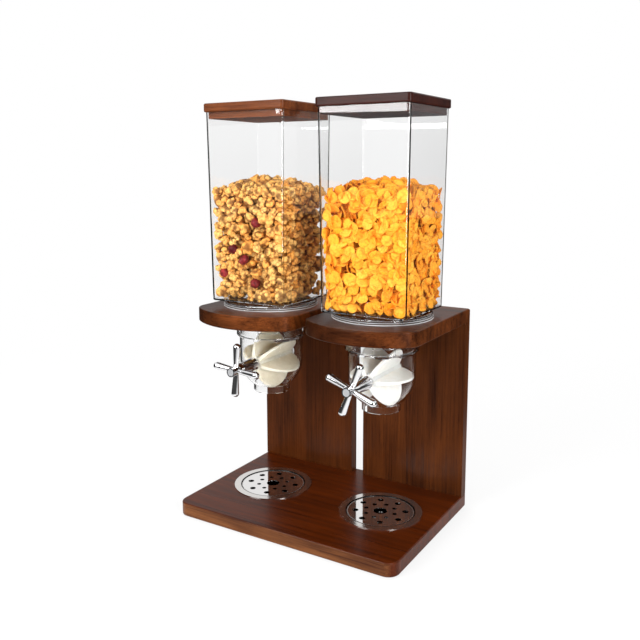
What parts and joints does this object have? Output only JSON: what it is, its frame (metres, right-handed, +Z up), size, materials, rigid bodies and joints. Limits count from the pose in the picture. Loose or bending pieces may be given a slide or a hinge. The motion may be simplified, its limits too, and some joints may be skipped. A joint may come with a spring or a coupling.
{
  "type": "double cereal dispenser",
  "caption": "Countertop dry-food dispenser: clear hoppers with wooden lids on a wooden stand, knob-turned paddle wheels over drip trays.",
  "frame": {"origin": "on the table, under the middle of the base board's footprint", "axes": "+X to the right seen from the front, the knobs face -Y, +Z up"},
  "size_m": [0.3614, 0.25, 0.6124],
  "materials": {
    "base_wood": "walnut-stained and lacquered, grain along the width",
    "board_wood": "walnut-stained and lacquered, grain upright and front to back",
    "lid_wood": "walnut-stained and lacquered",
    "dowel_wood": "raw beech",
    "clear_plastic": "clear moulded plastic",
    "clear_silicone": "translucent soft silicone",
    "white_silicone": "milky white soft silicone, satin",
    "bearing_plastic": "natural nylon",
    "chrome": "polished chrome plate",
    "satin_chrome": "satin chrome",
    "polished_steel": "polished stainless steel",
    "brushed_steel": "stainless steel brushed in circles",
    "axle_steel": "turned stainless steel",
    "screw_steel": "zinc-plated steel",
    "pad_foam": "black foam rubber",
    "granola": "toasted oat clusters, shown as contents only",
    "corn_flakes": "yellow corn flakes, shown as contents only"
  },
  "bodies": {
    "stand": {"base_board": "base_wood", "foot_pads": "pad_foam", "base_screws": "screw_steel", "back_board_left": "board_wood", "shelf_left": "board_wood", "mitre_dowels_left": "dowel_wood", "collar_left": "clear_plastic", "hopper_gasket_left": "clear_silicone", "back_board_right": "board_wood", "shelf_right": "board_wood", "mitre_dowels_right": "dowel_wood", "collar_right": "clear_plastic", "hopper_gasket_right": "clear_silicone"},
    "bowl_left": {"bowl_left": "clear_plastic", "front_bush_left": "bearing_plastic", "rear_bush_left": "bearing_plastic"},
    "knob_left": {"knob_left": "chrome", "knob_screw_left": "screw_steel", "knob_cap_left": "satin_chrome", "axle_sleeve_left": "chrome", "axle_left": "axle_steel", "wheel_core_left": "bearing_plastic", "paddle_wheel_left": "white_silicone"},
    "hopper_left": {"hopper_left": "clear_plastic"},
    "lid_left": {"lid_plate_left": "lid_wood", "lid_plug_left": "lid_wood"},
    "tray_left": {"tray_cup_left": "brushed_steel"},
    "grate_left": {"tray_grate_left": "polished_steel"},
    "bowl_right": {"bowl_right": "clear_plastic", "front_bush_right": "bearing_plastic", "rear_bush_right": "bearing_plastic"},
    "knob_right": {"knob_right": "chrome", "knob_screw_right": "screw_steel", "knob_cap_right": "satin_chrome", "axle_sleeve_right": "chrome", "axle_right": "axle_steel", "wheel_core_right": "bearing_plastic", "paddle_wheel_right": "white_silicone"},
    "hopper_right": {"hopper_right": "clear_plastic"},
    "lid_right": {"lid_plate_right": "lid_wood", "lid_plug_right": "lid_wood"},
    "tray_right": {"tray_cup_right": "brushed_steel"},
    "grate_right": {"tray_grate_right": "polished_steel"}
  },
  "joints": [
    {"name": "bowl_twist_left", "type": "hinge", "parent": "stand", "child": "bowl_left", "pos_m": [-0.09563, 0.0045, 0.2668], "axis": [0, 0, 1], "range_deg": [0, 40]},
    {"name": "knob_turn_left", "type": "hinge", "parent": "bowl_left", "child": "knob_left", "pos_m": [-0.09563, 0.0045, 0.2275], "axis": [0, -1, 0], "continuous": true},
    {"name": "hopper_lift_left", "type": "slide", "parent": "stand", "child": "hopper_left", "axis": [0, 0, 1], "range_m": [0, 0.06]},
    {"name": "lid_lift_left", "type": "slide", "parent": "hopper_left", "child": "lid_left", "axis": [0, 0, 1], "range_m": [0, 0.04]},
    {"name": "tray_lift_left", "type": "slide", "parent": "stand", "child": "tray_left", "axis": [0, 0, 1], "range_m": [0, 0.03]},
    {"name": "grate_lift_left", "type": "slide", "parent": "tray_left", "child": "grate_left", "axis": [0, 0, 1], "range_m": [0, 0.015]},
    {"name": "bowl_twist_right", "type": "hinge", "parent": "stand", "child": "bowl_right", "pos_m": [0.09563, 0.0045, 0.2668], "axis": [0, 0, 1], "range_deg": [0, 40]},
    {"name": "knob_turn_right", "type": "hinge", "parent": "bowl_right", "child": "knob_right", "pos_m": [0.09563, 0.0045, 0.2275], "axis": [0, -1, 0], "continuous": true},
    {"name": "hopper_lift_right", "type": "slide", "parent": "stand", "child": "hopper_right", "axis": [0, 0, 1], "range_m": [0, 0.06]},
    {"name": "lid_lift_right", "type": "slide", "parent": "hopper_right", "child": "lid_right", "axis": [0, 0, 1], "range_m": [0, 0.04]},
    {"name": "tray_lift_right", "type": "slide", "parent": "stand", "child": "tray_right", "axis": [0, 0, 1], "range_m": [0, 0.03]},
    {"name": "grate_lift_right", "type": "slide", "parent": "tray_right", "child": "grate_right", "axis": [0, 0, 1], "range_m": [0, 0.015]}
  ]
}
